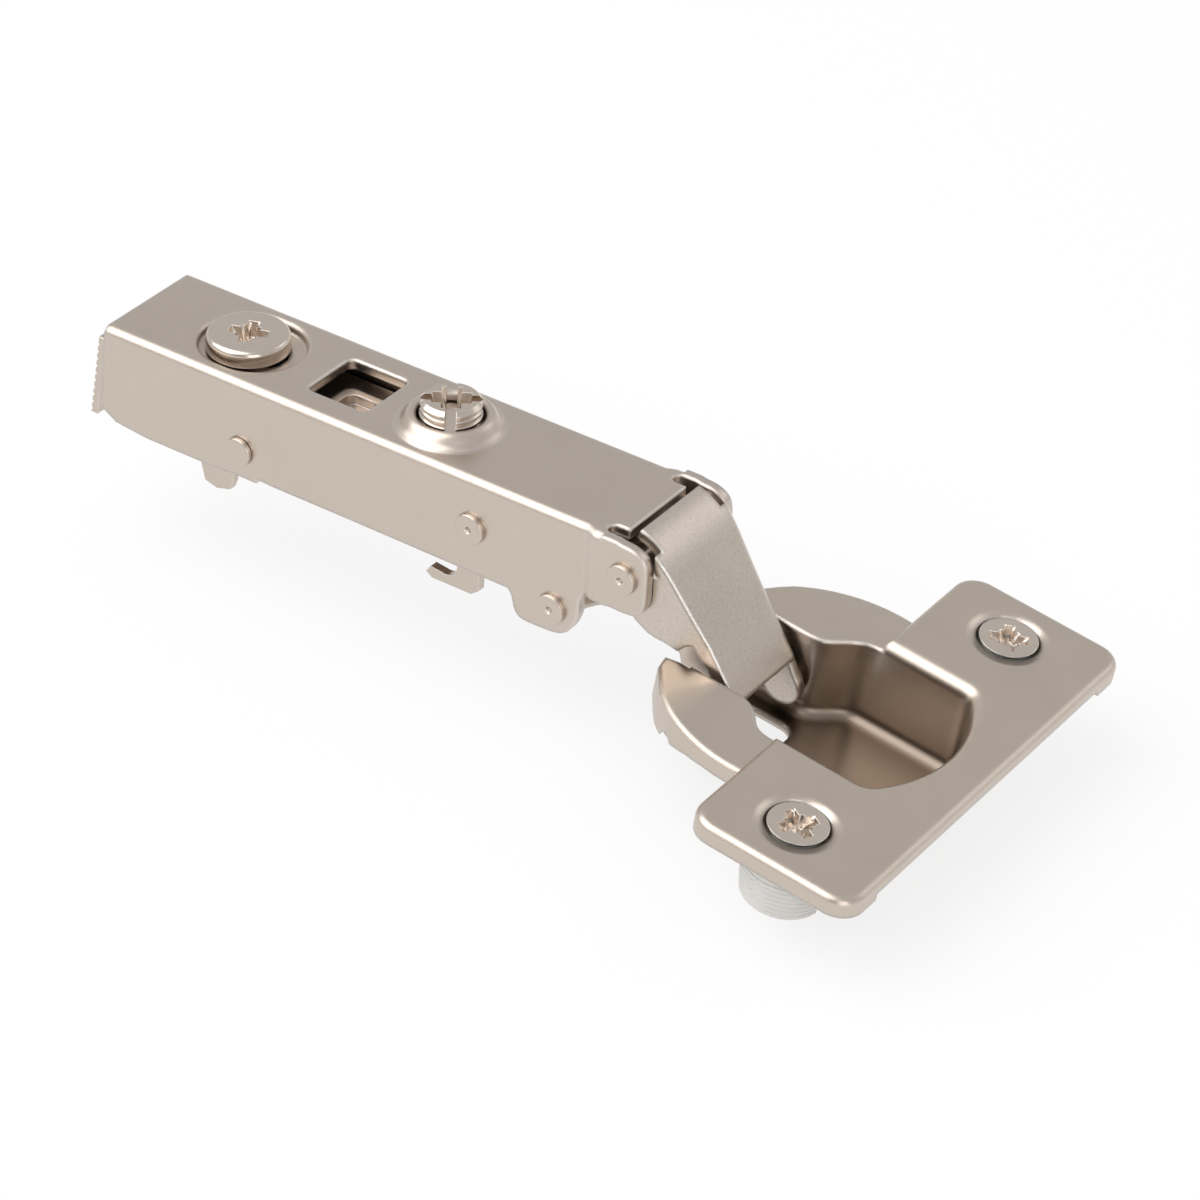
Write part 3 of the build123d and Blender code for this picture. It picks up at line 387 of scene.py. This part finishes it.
class PhotoEffects:
    """What is painted on a metal to match the photograph, beyond its plain finish.

    Distances are in metres, and heights are above the flange's top. A pair goes from where
    an effect starts to where it is full.
    """

    # Painted highlight and painted dark reflection along the folds.
    painted_bend_reflections = (
        PaintedBendReflection((0.32, 0.92, 0.23), start=0.955, full=0.99, colour=(0.30, 0.255, 0.215)),
        PaintedBendReflection((0.60, 0.66, 0.45), start=0.93, full=0.985, colour=(0.97, 0.94, 0.90)),
    )
    # Painted highlight on the edges.
    edge_highlight_turn = (0.995, 0.86)
    edge_highlight_share = 0.6
    edge_highlight_colour = (0.95, 0.90, 0.85)
    dish_radius = (3.1 * MM, 4.9 * MM)
    dish_depth = 0.55 * MM
    # Painted shade in sheltered places, and by depth in the cup's pocket.
    shelter = (0.05, 0.65)
    shelter_samples = 8
    pocket_depth = (-2.0 * MM, -11.2 * MM)
    pocket_painted_shade = (-0.25, 0.95)
    pocket_wall = (17.1 * MM, 16.8 * MM)
    pocket_mouth = (-1.5 * MM, -2.6 * MM)
    pocket_floor = (-12.1 * MM, -11.9 * MM)

    @classmethod
    def paint_bend_reflections(cls, graph: Graph, rounded: Socket, plain: Socket) -> Socket:
        """Paints a highlight along a fold, with a painted dark reflection beside it.

        Args:
            graph: The material's graph.
            rounded: The rounded normal in the world's frame.
            plain: The colour before.

        Returns:
            The colour with both painted lines.
        """
        own = graph.add("VectorTransform", {"Vector": rounded})
        own.vector_type = "NORMAL"
        own.convert_from = "WORLD"
        own.convert_to = "OBJECT"
        direction = graph.folded(own.outputs["Vector"])
        for line in cls.painted_bend_reflections:
            match = graph.vector("DOT_PRODUCT", direction, line.direction)
            plain = graph.mix(graph.spread(match, line.start, line.full), plain, line.colour)
        return plain

    @classmethod
    def paint_edge_highlight(cls, graph: Graph, rounded: Socket, plain: Socket) -> Socket:
        """Paints a highlight on the edges, where the rounded normal leaves the face's own.

        Args:
            graph: The material's graph.
            rounded: The rounded normal.
            plain: The colour before.

        Returns:
            The colour with its painted edge highlights.
        """
        face = graph.add("NewGeometry").outputs["True Normal"]
        match = graph.vector("DOT_PRODUCT", rounded, face)
        share = graph.spread(match, *cls.edge_highlight_turn, high=cls.edge_highlight_share)
        return graph.mix(share, plain, cls.edge_highlight_colour)

    @classmethod
    def dimpled(cls, graph: Graph, place: Socket, normal: Socket) -> Socket:
        """Presses a shallow dish into the flange round each cup screw.

        Args:
            graph: The material's graph.
            place: The object coordinates.
            normal: The normal before.

        Returns:
            The normal with the two dishes.
        """
        screw = CupFrame.point(0.0, CupFrame.screw_side, 0.0)
        offset = graph.vector("SUBTRACT", graph.folded(place), screw)
        radius = graph.vector("LENGTH", graph.vector("CROSS_PRODUCT", offset, CupFrame.normal()))
        dish = graph.spread(radius, *cls.dish_radius, smooth=True)
        press = {"Distance": cls.dish_depth, "Height": dish, "Normal": normal}
        return graph.add("Bump", press).outputs["Normal"]

    @classmethod
    def outside_cup(cls, graph: Graph, place: Socket) -> Socket:
        """Tells the cup's pocket, whose colour gets a painted shade that deepens with depth,
        from all that is outside it.

        Args:
            graph: The material's graph.
            place: The object coordinates.

        Returns:
            A value that is 1 outside and falls with the depth inside.
        """
        centre = CupFrame.point(CupFrame.cup_centre, 0.0, 0.0)
        offset = graph.vector("SUBTRACT", place, centre)
        level = graph.vector("DOT_PRODUCT", offset, CupFrame.normal())
        ahead = graph.vector("DOT_PRODUCT", offset, CupFrame.forward())
        beside = graph.vector("DOT_PRODUCT", offset, CupFrame.across())
        flat = graph.add("CombineXYZ", {"X": ahead, "Y": beside})
        radius = graph.vector("LENGTH", flat.outputs["Vector"])
        dark = graph.spread(level, *cls.pocket_depth, *cls.pocket_painted_shade)
        for value, gate in (
            (radius, cls.pocket_wall),
            (level, cls.pocket_mouth),
            (level, cls.pocket_floor),
        ):
            dark = graph.number("MULTIPLY", graph.spread(value, *gate), dark)
        return graph.number("SUBTRACT", 1.0, dark)

    @classmethod
    def paint_recess_shade(
        cls, graph: Graph, place: Socket, plain: Socket, painted_recess_shade: Triple, reach: float
    ) -> Socket:
        """Paints shade into the colour of the sheltered places and of the cup's pocket.

        Args:
            graph: The material's graph.
            place: The object coordinates.
            plain: The colour of the open surface.
            painted_recess_shade: The colour of a fully sheltered place.
            reach: How far away a wall still shelters, in metres.

        Returns:
            The colour with its painted shade.
        """
        shelter = graph.add("AmbientOcclusion", {"Distance": reach})
        shelter.samples = cls.shelter_samples
        free = graph.spread(shelter.outputs["AO"], *cls.shelter)
        share = graph.number("MULTIPLY", free, cls.outside_cup(graph, place))
        return graph.mix(share, painted_recess_shade, plain)


@dataclass(frozen=True)
class MetalFinish:
    """A plated or bare metal, with lengths in metres.

    The colour wavers between colour and shadow in soft clouds, and fleck is the share of the
    fine grain in that. The bump is how strongly the grain stands out, and edge_round is how
    far an edge looks rounded, which also sets the width of its painted highlight. Sheltered
    places and the cup's pocket get a painted shade colour, if the finish gives one.
    """

    colour: Triple
    shadow: Triple
    rough_low: float
    rough_high: float
    grain_scale: float
    bump: float
    edge_round: float = 0.18 * MM
    painted_recess_shade: Triple | None = None
    painted_shade_reach: float = 9.0 * MM
    fleck: float = 0.25
    dimples: bool = False
    # Whether a painted highlight and a painted dark reflection are drawn along the folds.
    painted_bend_reflections: bool = False

    bump_depth: ClassVar[float] = 0.02 * MM
    edge_samples: ClassVar[int] = 6

    def build(self, name: str, group: bpy.types.NodeTree) -> bpy.types.Material:
        """Builds the material.

        Args:
            name: The material's name.
            group: The plated_grain group.

        Returns:
            The finished material.
        """
        material, graph, shader = blank_material(name)
        place = graph.add("TexCoord").outputs["Object"]
        grain = graph.add("Group")
        grain.node_tree = group
        settings = {
            "Vector": place,
            "Grain Scale": self.grain_scale,
            "Roughness Low": self.rough_low,
            "Roughness High": self.rough_high,
            "Fleck": self.fleck,
        }
        graph.fill(grain, settings)
        edges = graph.add("Bevel", {"Radius": self.edge_round})
        edges.samples = self.edge_samples
        rounded = edges.outputs["Normal"]
        colour = graph.mix(grain.outputs["Shade"], self.shadow, self.colour)
        # Painted shade in sheltered places and in the cup's pocket.
        if self.painted_recess_shade is not None:
            colour = PhotoEffects.paint_recess_shade(graph, place, colour, self.painted_recess_shade, self.painted_shade_reach)
        # Painted highlight on the edges.
        colour = PhotoEffects.paint_edge_highlight(graph, rounded, colour)
        # Painted highlight and painted dark reflection along the folds.
        if self.painted_bend_reflections:
            colour = PhotoEffects.paint_bend_reflections(graph, rounded, colour)
        bump = {
            "Strength": self.bump,
            "Distance": self.bump_depth,
            "Height": grain.outputs["Height"],
            "Normal": PhotoEffects.dimpled(graph, place, rounded) if self.dimples else rounded,
        }
        surface = {
            "Base Color": colour,
            "Metallic": 1.0,
            "Roughness": grain.outputs["Roughness"],
            "Normal": graph.add("Bump", bump).outputs["Normal"],
        }
        graph.fill(shader, surface)
        return material


@dataclass(frozen=True)
class PlasticFinish:
    """A moulded plastic, where milky is the share of the light that goes into it."""

    colour: Triple
    shadow: Triple
    roughness: float
    milky: float = 0.0

    bump: ClassVar[float] = 0.15
    bump_depth: ClassVar[float] = 0.03 * MM
    milk_depth: ClassVar[float] = 2.0 * MM

    def build(self, name: str, group: bpy.types.NodeTree) -> bpy.types.Material:
        """Builds the material.

        Args:
            name: The material's name.
            group: The moulded_skin group.

        Returns:
            The finished material.
        """
        material, graph, shader = blank_material(name)
        skin = graph.add("Group")
        skin.node_tree = group
        graph.fill(skin, {"Vector": graph.add("TexCoord").outputs["Object"]})
        bump = {
            "Strength": self.bump,
            "Distance": self.bump_depth,
            "Height": skin.outputs["Height"],
        }
        surface = {
            "Base Color": graph.mix(skin.outputs["Shade"], self.shadow, self.colour),
            "Roughness": self.roughness,
            "Subsurface Weight": self.milky,
            "Subsurface Scale": self.milk_depth,
            "Normal": graph.add("Bump", bump).outputs["Normal"],
        }
        graph.fill(shader, surface)
        return material


def metal_finishes() -> dict[Finish, MetalFinish]:
    """Lists the metals. The fine nickel is the satin one, for thin sheets and small heads.

    Returns:
        Each metal by its name.
    """
    satin = MetalFinish(
        colour=(0.655, 0.575, 0.503),
        shadow=(0.625, 0.545, 0.475),
        rough_low=0.285,
        rough_high=0.34,
        grain_scale=2600.0,
        bump=0.05,
        edge_round=0.7 * MM,
        # Painted shade for sheltered places.
        painted_recess_shade=(0.16, 0.125, 0.10),
        painted_shade_reach=1.3 * MM,
    )
    return {
        Finish.SATIN_NICKEL: satin,
        Finish.FINE_NICKEL: replace(
            satin,
            edge_round=0.2 * MM,
            # Painted shade for sheltered places.
            painted_recess_shade=(0.10, 0.078, 0.062),
            painted_shade_reach=1.1 * MM,
        ),
        Finish.GRAINED_NICKEL: MetalFinish(
            colour=(0.74, 0.665, 0.59),
            shadow=(0.545, 0.48, 0.42),
            rough_low=0.28,
            rough_high=0.38,
            grain_scale=4200.0,
            bump=0.8,
            edge_round=0.7 * MM,
            fleck=0.85,
            # Painted highlight and painted dark reflection along the folds.
            painted_bend_reflections=True,
        ),
        Finish.CUP_NICKEL: MetalFinish(
            colour=(0.655, 0.575, 0.503),
            shadow=(0.62, 0.54, 0.465),
            rough_low=0.285,
            rough_high=0.32,
            grain_scale=2600.0,
            bump=0.07,
            edge_round=0.8 * MM,
            # Painted shade for sheltered places and for the cup's pocket.
            painted_recess_shade=(0.24, 0.19, 0.152),
            dimples=True,
        ),
        Finish.BRIGHT_NICKEL: MetalFinish(
            colour=(0.72, 0.64, 0.565),
            shadow=(0.68, 0.60, 0.525),
            rough_low=0.18,
            rough_high=0.26,
            grain_scale=9000.0,
            bump=0.15,
            edge_round=0.12 * MM,
        ),
        Finish.SPRING_STEEL: MetalFinish(
            colour=(0.34, 0.33, 0.32),
            shadow=(0.22, 0.21, 0.21),
            rough_low=0.28,
            rough_high=0.42,
            grain_scale=7000.0,
            bump=0.3,
        ),
    }


def plastic_finishes() -> dict[Finish, PlasticFinish]:
    """Lists the plastics."""
    return {
        Finish.SLATE_PLASTIC: PlasticFinish(
            colour=(0.05, 0.06, 0.07),
            shadow=(0.03, 0.035, 0.045),
            roughness=0.45,
        ),
        Finish.WHITE_PLASTIC: PlasticFinish(
            colour=(0.66, 0.65, 0.625),
            shadow=(0.60, 0.59, 0.565),
            roughness=0.35,
            milky=0.12,
        ),
    }


@dataclass
class FinishRack:
    """Every finish of the hinge, built once."""

    metals: dict[Finish, MetalFinish] = field(default_factory=metal_finishes)
    plastics: dict[Finish, PlasticFinish] = field(default_factory=plastic_finishes)
    built: dict[Finish, bpy.types.Material] = field(default_factory=dict)

    def build(self) -> None:
        """Builds each material from its shared group."""
        grain = EffectGroups.plated_grain()
        skin = EffectGroups.moulded_skin()
        for finish, metal in self.metals.items():
            self.built[finish] = metal.build(finish.value, grain)
        for finish, plastic in self.plastics.items():
            self.built[finish] = plastic.build(finish.value, skin)

    def dress(self, thing: bpy.types.Object, finish: Finish) -> None:
        """Gives a piece one finish all over.

        Args:
            thing: The piece or CAD node.
            finish: The finish that it gets.
        """
        if not thing.material_slots:
            thing.data.materials.append(self.built[finish])
        for place in thing.material_slots:
            place.material = self.built[finish]


@dataclass
class CadNodes:
    """The CAD nodes that are shown as they are, with their finishes."""

    finishes: dict[str, Finish] = field(
        default_factory=lambda: {
            "hinge_arm": Finish.SATIN_NICKEL,
            "slide_plate": Finish.FINE_NICKEL,
            "clip_base": Finish.FINE_NICKEL,
            "catch_lever": Finish.FINE_NICKEL,
            "inner_link": Finish.SATIN_NICKEL,
            "outer_link": Finish.GRAINED_NICKEL,
            "hinge_cup": Finish.CUP_NICKEL,
            "rear_pin": Finish.FINE_NICKEL,
            "spring_pin": Finish.FINE_NICKEL,
            "outer_link_pin": Finish.FINE_NICKEL,
            "inner_link_pin": Finish.FINE_NICKEL,
            "cup_pin_outer": Finish.BRIGHT_NICKEL,
            "cup_pin_inner": Finish.BRIGHT_NICKEL,
            "catch_pin": Finish.BRIGHT_NICKEL,
            "side_adjusting_screw": Finish.BRIGHT_NICKEL,
            "clamp_screw": Finish.BRIGHT_NICKEL,
            "clamp_nut": Finish.SPRING_STEEL,
            "cup_screw_left": Finish.BRIGHT_NICKEL,
            "cup_screw_right": Finish.BRIGHT_NICKEL,
            "closing_spring": Finish.SPRING_STEEL,
            "catch_spring": Finish.SPRING_STEEL,
            "pressure_lever": Finish.SLATE_PLASTIC,
        }
    )

    def dress(self, nodes: dict[str, bpy.types.Object], rack: FinishRack) -> None:
        """Dresses each CAD node.

        Args:
            nodes: The frame's nodes by name.
            rack: The finishes.
        """
        for name, finish in self.finishes.items():
            rack.dress(nodes[name], finish)
            LOG.info("%s dressed as %s", name, finish.value)


@dataclass
class Dowel:
    """An expanding dowel of white plastic: ribbed, tapered, and slit from below.

    It stands in the flange's frame, and its lengths are in millimetres. The envelope is
    straight for a while under the top and then tapers to the tip. A rib lists shares of the
    pitch, each with its share of the groove's depth.
    """

    name: str
    side: float
    top: float = -1.05
    bottom: float = -9.2
    slit_top: float = -4.7
    outer_r: float = 5.15
    tip_r: float = 4.5
    bore_r: float = 1.81
    straight: float = 2.2
    taper: float = 1.6
    pitch: float = 0.68
    groove: float = 0.12
    rib: tuple[tuple[float, float], ...] = ((0.12, 0.0), (0.74, 0.0), (0.9, 1.0))
    slit: float = 0.9
    segments: int = 96

    def radius(self, level: float) -> float:
        """Gives the envelope's radius at a height.

        Args:
            level: The height in the flange's frame, in millimetres.

        Returns:
            The radius in millimetres.
        """
        shoulder = self.top - self.straight
        run = max(0.0, (shoulder - level) / (shoulder - self.bottom))
        return self.outer_r - (self.outer_r - self.tip_r) * run**self.taper

    def walls(self, high: float, low: float) -> list[tuple[float, float]]:
        """Lists the ribbed wall's radii and heights from the top down.

        Args:
            high: The upper end in millimetres.
            low: The lower end in millimetres.

        Returns:
            Pairs of radius and height in millimetres.
        """
        count = max(1, round((high - low) / self.pitch))
        step = (high - low) / count
        rings = [(self.radius(high) - self.groove, high)]
        for number in range(count):
            start = high - number * step
            for share, cut in self.rib:
                level = start - share * step
                rings.append((self.radius(level) - cut * self.groove, level))
        rings.append((self.radius(low) - self.groove, low))
        return rings

    def shell(self, high: float, low: float) -> bmesh.types.BMesh:
        """Draws a closed ribbed ring out of one circle, extruded ring by ring.

        Args:
            high: The upper end in millimetres.
            low: The lower end in millimetres.

        Returns:
            The ring about the dowel's own axis.
        """
        shape = bmesh.new()
        rings = self.walls(high, low)
        radius, level = rings[0]
        circle = bmesh.ops.create_circle(shape, segments=self.segments, radius=radius * MM)
        bmesh.ops.translate(shape, vec=(0.0, 0.0, level * MM), verts=circle["verts"])
        edges = list(shape.edges)
        for next_radius, next_level in [*rings[1:], (self.bore_r, low), (self.bore_r, high)]:
            grown = bmesh.ops.extrude_edge_only(shape, edges=edges)["geom"]
            verts = [part for part in grown if isinstance(part, bmesh.types.BMVert)]
            edges = [part for part in grown if isinstance(part, bmesh.types.BMEdge)]
            factor = next_radius / radius
            bmesh.ops.scale(shape, vec=(factor, factor, 1.0), verts=verts)
            bmesh.ops.translate(shape, vec=(0.0, 0.0, (next_level - level) * MM), verts=verts)
            radius, level = next_radius, next_level
        rim = [edge for edge in shape.edges if edge.is_boundary]
        bmesh.ops.bridge_loops(shape, edges=rim)
        bmesh.ops.recalc_face_normals(shape, faces=shape.faces)
        return shape

    def jaw(self, way: float) -> bmesh.types.BMesh:
        """Cuts one jaw of the slit end.

        Args:
            way: 1 for the jaw on the left side, -1 for the one on the right.

        Returns:
            The jaw about the dowel's own axis.
        """
        shape = self.shell(self.slit_top, self.bottom)
        bmesh.ops.bisect_plane(
            shape,
            geom=[*shape.verts, *shape.edges, *shape.faces],
            plane_co=(0.0, way * self.slit / 2 * MM, 0.0),
            plane_no=(0.0, -way, 0.0),
            clear_outer=True,
        )
        rim = [edge for edge in shape.edges if edge.is_boundary]
        bmesh.ops.holes_fill(shape, edges=rim)
        bmesh.ops.recalc_face_normals(shape, faces=shape.faces)
        return shape

    def build(self, rack: FinishRack) -> None:
        """Builds the dowel in its place in the flange.

        Args:
            rack: The finishes.
        """
        mesh = bpy.data.meshes.new(self.name)
        whole = bmesh.new()
        for part in (self.shell(self.top, self.slit_top), self.jaw(1.0), self.jaw(-1.0)):
            part.to_mesh(mesh)
            whole.from_mesh(mesh)
            part.free()
        beside = (0.0, self.side * CupFrame.screw_side * MM, 0.0)
        bmesh.ops.translate(whole, vec=beside, verts=whole.verts)
        bmesh.ops.transform(whole, matrix=CupFrame.matrix(), verts=whole.verts)
        whole.to_mesh(mesh)
        whole.free()
        dowel = bpy.data.objects.new(self.name, mesh)
        bpy.context.scene.collection.objects.link(dowel)
        rack.dress(dowel, Finish.WHITE_PLASTIC)
        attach(dowel, "cup")
        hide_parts("dowel_left" if self.side > 0 else "dowel_right")
        LOG.info("%s built", self.name)


@dataclass(frozen=True)
class Lamp:
    """A soft square lamp that faces the hinge, in metres and watts."""

    name: str
    place: Triple
    size: float
    power: float

    def hang(self) -> None:
        """Adds the lamp to the scene."""
        data = bpy.data.lights.new(self.name, "AREA")
        data.size = self.size
        data.energy = self.power
        lamp = bpy.data.objects.new(self.name, data)
        lamp.location = self.place
        lamp.rotation_euler = (-Vector(self.place)).to_track_quat("-Z", "Y").to_euler()
        bpy.context.scene.collection.objects.link(lamp)


@dataclass
class Studio:
    """The floor, the lamps, the world and the camera.

    Lengths are in metres and angles in degrees. The world's belt and horizon are heights of
    a direction, from 0 at eye level to 1 overhead, and its front is a direction's y. The lens
    and the sensor are in millimetres.
    """

    azimuth: float = 32.95
    elevation: float = 34.18
    roll: float = 2.85
    camera_place: Triple = (0.2560, -0.3685, 0.2977)
    lens: float = 147.39
    sensor: float = 36.0
    nearest: float = 0.01
    farthest: float = 20.0
    floor_half: float = 3.0
    floor_drop: float = 0.0004
    floor_colour: Triple = (0.92, 0.92, 0.92)
    floor_roughness: float = 0.9
    floor_glow: float = 0.8
    mirrored_floor: float = 0.89
    backdrop: Triple = (1.0, 1.0, 1.0)
    sky: Triple = (0.60, 0.60, 0.60)
    belt: Triple = (0.10, 0.09, 0.085)
    belt_low: float = 0.08
    belt_high: float = 0.30
    belt_top: float = 0.48
    belt_front: float = -0.45
    horizon_low: float = 0.0
    horizon_high: float = 0.12
    lamps: tuple[Lamp, ...] = (
        Lamp("key_lamp", (-0.5, -0.55, 0.9), size=1.5, power=13.5),
        Lamp("side_lamp", (0.95, -0.8, 0.35), size=0.7, power=3.2),
        Lamp("rim_lamp", (0.5, 0.9, 0.7), size=0.6, power=0.65),
    )

    def floor(self, low: float) -> None:
        """Lays the pale floor under the hinge.

        Where it is seen it glows by floor_glow, so that it meets the white backdrop, and a
        little less in a mirror image. The lamps still draw the hinge's shadow on it.

        Args:
            low: The height of the hinge's lowest point.
        """
        mesh = bpy.data.meshes.new("floor")
        shape = bmesh.new()
        bmesh.ops.create_grid(shape, x_segments=1, y_segments=1, size=self.floor_half)
        bmesh.ops.translate(shape, vec=(0.0, 0.0, low - self.floor_drop), verts=shape.verts)
        shape.to_mesh(mesh)
        shape.free()
        floor = bpy.data.objects.new("floor", mesh)
        bpy.context.scene.collection.objects.link(floor)
        material, graph, shader = blank_material("pale_floor")
        mesh.materials.append(material)
        graph.fill(shader, {"Base Color": self.floor_colour, "Roughness": self.floor_roughness})
        camera_ray = graph.add("LightPath").outputs["Is Camera Ray"]
        strength = graph.spread(camera_ray, 0.0, 1.0, self.mirrored_floor, 1.0)
        glow = graph.add("Emission", {"Strength": strength}).outputs["Emission"]
        share = graph.number("MULTIPLY", self.seen_rays(graph), self.floor_glow)
        mixed = graph.add("MixShader", {0: share, 1: shader.outputs["BSDF"], 2: glow})
        graph.fill(graph.tree.nodes["Material Output"], {"Surface": mixed.outputs["Shader"]})
        floor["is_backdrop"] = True

    @staticmethod
    def seen_rays(graph: Graph) -> Socket:
        """Marks the rays that show the background: from the camera, off metal, through glass.

        Args:
            graph: The graph that gets the nodes.

        Returns:
            A value that is 1 on those rays.
        """
        rays = graph.add("LightPath").outputs
        seen = rays["Is Camera Ray"]
        for kind in ("Is Glossy Ray", "Is Transmission Ray"):
            seen = graph.number("MAXIMUM", seen, rays[kind])
        return seen

    def world(self) -> None:
        """Sets a world that is white to the camera, and grey with a dark front to the metal."""
        world = bpy.data.worlds.new("studio")
        bpy.context.scene.world = world
        world.use_nodes = True
        graph = Graph(world.node_tree)
        nodes = world.node_tree.nodes
        way = graph.add("SeparateXYZ", {0: graph.add("TexCoord").outputs["Generated"]}).outputs
        belt = graph.add("ValToRGB", {"Fac": way["Z"]})
        belt.color_ramp.interpolation = "EASE"
        stops = belt.color_ramp.elements
        for stop in stops:
            stop.color = (*self.sky, 1.0)
        for level, colour in (
            (self.belt_low, self.belt),
            (self.belt_high, self.belt),
            (self.belt_top, self.sky),
        ):
            stops.new(level).color = (*colour, 1.0)
        front = graph.spread(way["Y"], 0.0, self.belt_front, smooth=True)
        back = nodes["Background"]
        graph.fill(back, {"Color": graph.mix(front, self.sky, belt.outputs["Color"])})
        white = graph.add("Background", {"Color": self.backdrop})
        span = (self.horizon_low, self.horizon_high, 1.0, 0.0)
        horizon = graph.spread(way["Z"], *span, smooth=True)
        mirrored = graph.number("MULTIPLY", horizon, self.seen_rays(graph))
        camera_ray = graph.add("LightPath").outputs["Is Camera Ray"]
        shown = graph.number("MAXIMUM", mirrored, camera_ray)
        both = {0: shown, 1: back.outputs["Background"], 2: white.outputs["Background"]}
        mixed = graph.add("MixShader", both)
        graph.fill(nodes["World Output"], {"Surface": mixed.outputs["Shader"]})

    def camera(self) -> None:
        """Places the camera where the photograph was taken from."""
        turn = math.radians(self.azimuth)
        rise = math.radians(self.elevation)
        roll = math.radians(self.roll)
        ahead = math.cos(rise)
        back = Vector((ahead * math.sin(turn), -ahead * math.cos(turn), math.sin(rise)))
        right = Vector((math.cos(turn), math.sin(turn), 0.0))
        up = back.cross(right)
        right, up = (
            right * math.cos(roll) + up * math.sin(roll),
            up * math.cos(roll) - right * math.sin(roll),
        )
        data = bpy.data.cameras.new("photo_camera")
        data.lens = self.lens
        data.sensor_width = self.sensor
        data.clip_start = self.nearest
        data.clip_end = self.farthest
        camera = bpy.data.objects.new("photo_camera", data)
        axes = Matrix((right, up, back)).transposed().to_4x4()
        camera.matrix_world = Matrix.Translation(self.camera_place) @ axes
        bpy.context.scene.collection.objects.link(camera)
        bpy.context.scene.camera = camera

    def build(self, low: float) -> None:
        """Builds the whole studio.

        Args:
            low: The height of the hinge's lowest point.
        """
        self.floor(low)
        for lamp in self.lamps:
            lamp.hang()
        self.world()
        self.camera()
        bpy.context.scene.view_settings.view_transform = "Standard"


def write_sizes() -> None:
    def plain(box: Sequence[Sequence[float]]) -> list[list[float]]:
        """Turns a box into plain lists."""
        return [[float(v) for v in corner] for corner in box]


def main() -> None:
    """Builds the finishes, the pieces and the studio in order."""
    logging.basicConfig(level=logging.INFO, format="%(message)s")
    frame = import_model()
    cad_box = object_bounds()
    rack = FinishRack()
    rack.build()
    CadNodes().dress(frame["nodes"], rack)
    Dowel("ribbed_dowel_left", 1.0).build(rack)
    Dowel("ribbed_dowel_right", -1.0).build(rack)
    Studio().build(cad_box[0][2])
    write_sizes()


if __name__ == "__main__":
    main()
